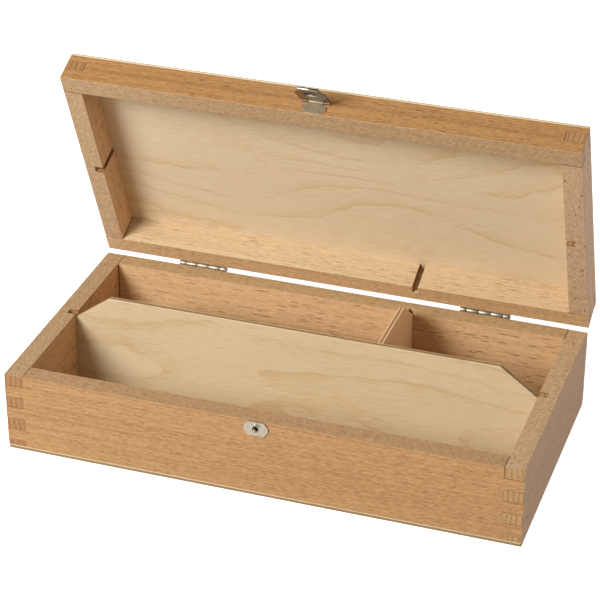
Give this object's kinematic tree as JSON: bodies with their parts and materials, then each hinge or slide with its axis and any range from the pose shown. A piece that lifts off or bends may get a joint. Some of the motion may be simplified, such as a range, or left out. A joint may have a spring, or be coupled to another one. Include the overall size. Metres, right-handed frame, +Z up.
{
  "type": "art supply box",
  "caption": "Beech art supply box with a hinged lid, plywood panels and dividers, butt hinges and a nickel-plated flap catch.",
  "frame": {"origin": "centre of the base's underside, on the surface the box stands on", "axes": "+X along the box's length to its right end, +Y to the hinge side, +Z up"},
  "size_m": [0.34, 0.1967, 0.2365],
  "materials": {
    "beech": "sanded, unfinished",
    "birch_plywood": "sanded, unfinished",
    "nickel_plate": "bright nickel plating",
    "steel": "zinc-plated steel"
  },
  "bodies": {
    "base": {"base_front_wall": "beech", "base_back_wall": "beech", "base_left_wall": "beech", "base_right_wall": "beech", "base_bottom_panel": "birch_plywood", "long_divider": "birch_plywood", "cross_divider": "birch_plywood", "base_hinge_screws": "steel", "keeper_plate": "nickel_plate", "keeper_stud": "nickel_plate", "left_hinge_base_leaf": "nickel_plate", "left_hinge_pin": "steel", "right_hinge_base_leaf": "nickel_plate", "right_hinge_pin": "steel"},
    "lid": {"lid_front_wall": "beech", "lid_back_wall": "beech", "lid_left_wall": "beech", "lid_right_wall": "beech", "lid_top_panel": "birch_plywood", "lid_hinge_screws": "steel", "left_hinge_lid_leaf": "nickel_plate", "right_hinge_lid_leaf": "nickel_plate", "latch_plate": "nickel_plate", "latch_pin": "steel"},
    "latch_flap": {"latch_flap": "nickel_plate"}
  },
  "joints": [
    {"name": "lid_hinge", "type": "hinge", "parent": "base", "child": "lid", "pos_m": [0, 0.0875, 0.0558], "axis": [-1, 0, 0], "range_deg": [-67.7, 112.3]},
    {"name": "flap_hinge", "type": "hinge", "parent": "lid", "child": "latch_flap", "pos_m": [0, 0.02984, 0.22065], "axis": [-1, 0, 0], "range_deg": [-64, 96]}
  ]
}
